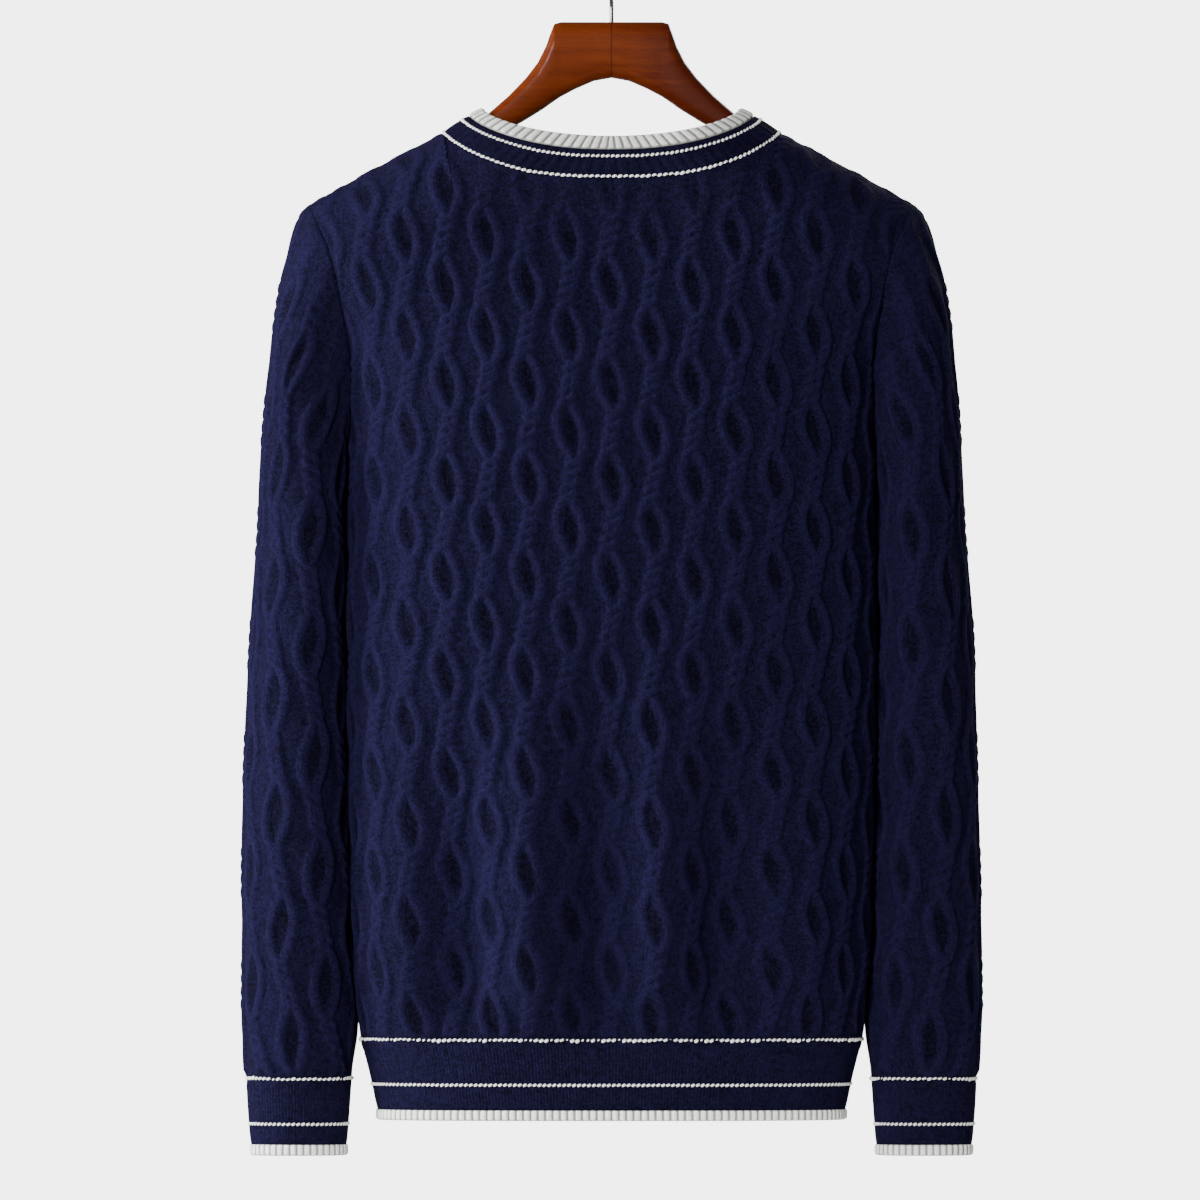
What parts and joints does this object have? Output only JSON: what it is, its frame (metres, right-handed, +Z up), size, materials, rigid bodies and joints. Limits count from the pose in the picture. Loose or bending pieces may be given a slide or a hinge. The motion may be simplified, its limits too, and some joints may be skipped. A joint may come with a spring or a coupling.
{
  "type": "cable-knit crewneck sweater on a wooden hanger",
  "caption": "Crewneck sweater in cable knit with ribbed bands and light edges, hanging filled out on a wooden hanger with a wire hook.",
  "frame": {"origin": "inside top of the hook, where a rail carries it, in the middle of the garment's width", "axes": "+Z up, +X to the right seen from behind (the wearer's right), +Y out of the front"},
  "size_m": [0.4982, 0.1879, 0.8222],
  "materials": {
    "navy_knit": "matt wool knit, dark navy",
    "white_knit": "matt rib knit, off-white",
    "hanger_wood": "clear gloss over reddish-brown stain",
    "hook_steel": "bright wire"
  },
  "bodies": {
    "root": {"back_panel": "navy_knit", "front_panel": "navy_knit", "sleeve_left": "navy_knit", "sleeve_right": "navy_knit", "cuff_left": "navy_knit", "cuff_right": "navy_knit", "neckband": "navy_knit", "hem_band": "navy_knit", "cuff_edge_left": "white_knit", "cuff_edge_right": "white_knit", "neck_edge": "white_knit", "hem_edge": "white_knit", "hanger_left": "hanger_wood", "hanger_right": "hanger_wood", "hanger_hook": "hook_steel"}
  },
  "joints": []
}
